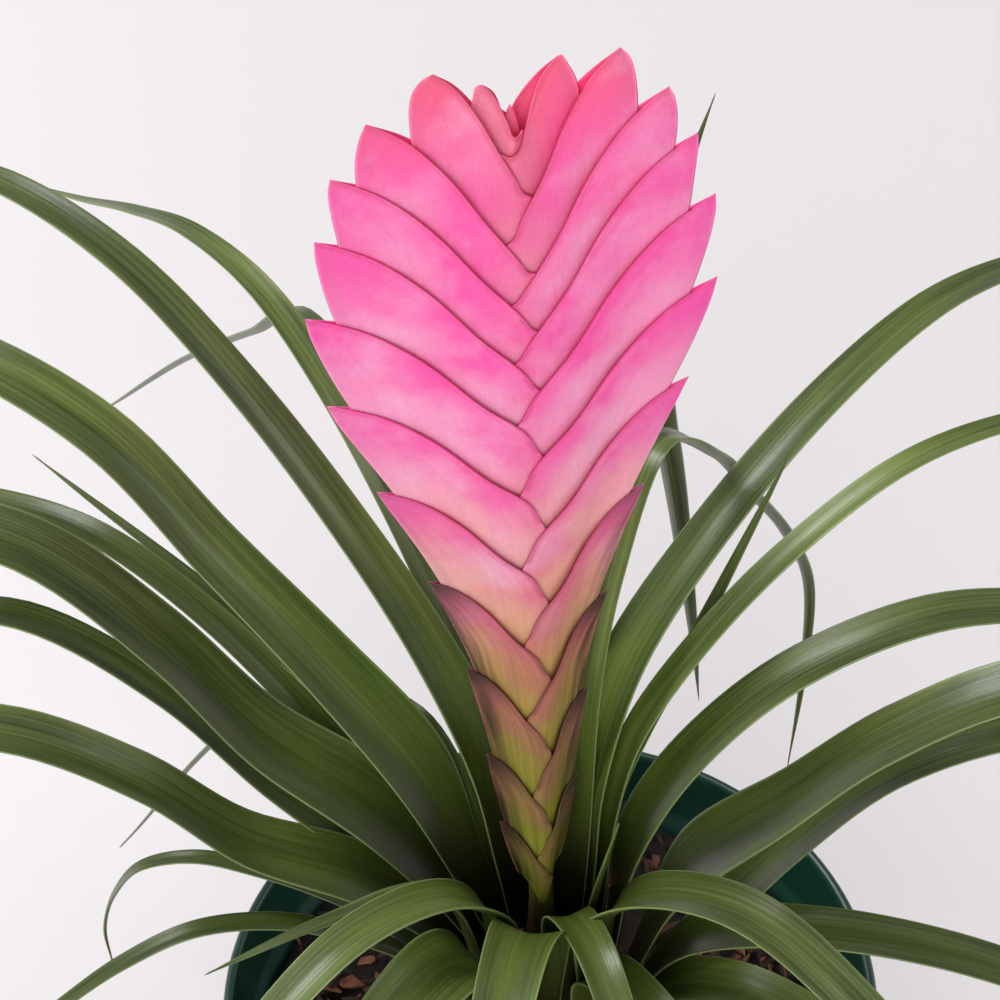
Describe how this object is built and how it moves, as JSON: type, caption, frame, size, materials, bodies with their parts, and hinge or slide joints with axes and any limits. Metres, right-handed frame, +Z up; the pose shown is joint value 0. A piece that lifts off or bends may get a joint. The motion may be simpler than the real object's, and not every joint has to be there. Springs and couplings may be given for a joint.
{
  "type": "potted plant",
  "caption": "Potted bromeliad: a rosette of arching green strap leaves round a flat pink feather-shaped flower spike of overlapping bracts, in a dark green round nursery pot",
  "frame": {"origin": "centre of the pot's flat underside, on the surface it stands on", "axes": "+Z up out of the pot, +X to the spike's right, +Y to the back, away from the spike's front face"},
  "size_m": [0.4496, 0.3331, 0.3008],
  "materials": {
    "pot_plastic": "satin, injection moulded polypropylene",
    "bark_mix": "rough, loose shredded bark",
    "stalk_tissue": "satin plant tissue",
    "bract_tissue": "satin, finely scaled plant tissue",
    "leaf_tissue": "satin, lengthwise ribbed plant tissue"
  },
  "bodies": {
    "root": {"pot": "pot_plastic", "potting_mix": "bark_mix", "flower_stem": "stalk_tissue", "bract_01": "bract_tissue", "bract_02": "bract_tissue", "bract_03": "bract_tissue", "bract_04": "bract_tissue", "bract_05": "bract_tissue", "bract_06": "bract_tissue", "bract_07": "bract_tissue", "bract_08": "bract_tissue", "bract_09": "bract_tissue", "bract_10": "bract_tissue", "bract_11": "bract_tissue", "bract_12": "bract_tissue", "bract_13": "bract_tissue", "bract_14": "bract_tissue", "bract_15": "bract_tissue", "bract_16": "bract_tissue", "bract_17": "bract_tissue", "bract_18": "bract_tissue", "bract_19": "bract_tissue", "bract_20": "bract_tissue", "bract_21": "bract_tissue", "bract_22": "bract_tissue", "bract_23": "bract_tissue", "bract_24": "bract_tissue", "leaf_01": "leaf_tissue", "leaf_02": "leaf_tissue", "leaf_03": "leaf_tissue", "leaf_04": "leaf_tissue", "leaf_05": "leaf_tissue", "leaf_06": "leaf_tissue", "leaf_07": "leaf_tissue", "leaf_08": "leaf_tissue", "leaf_09": "leaf_tissue", "leaf_10": "leaf_tissue", "leaf_11": "leaf_tissue", "leaf_12": "leaf_tissue", "leaf_13": "leaf_tissue", "leaf_14": "leaf_tissue", "leaf_15": "leaf_tissue", "leaf_16": "leaf_tissue", "leaf_17": "leaf_tissue", "leaf_18": "leaf_tissue", "leaf_19": "leaf_tissue", "leaf_20": "leaf_tissue", "leaf_21": "leaf_tissue", "leaf_22": "leaf_tissue", "leaf_23": "leaf_tissue", "leaf_24": "leaf_tissue", "leaf_25": "leaf_tissue", "leaf_26": "leaf_tissue", "leaf_27": "leaf_tissue", "leaf_28": "leaf_tissue", "leaf_29": "leaf_tissue", "leaf_30": "leaf_tissue", "leaf_31": "leaf_tissue", "leaf_32": "leaf_tissue", "leaf_33": "leaf_tissue"}
  },
  "joints": []
}
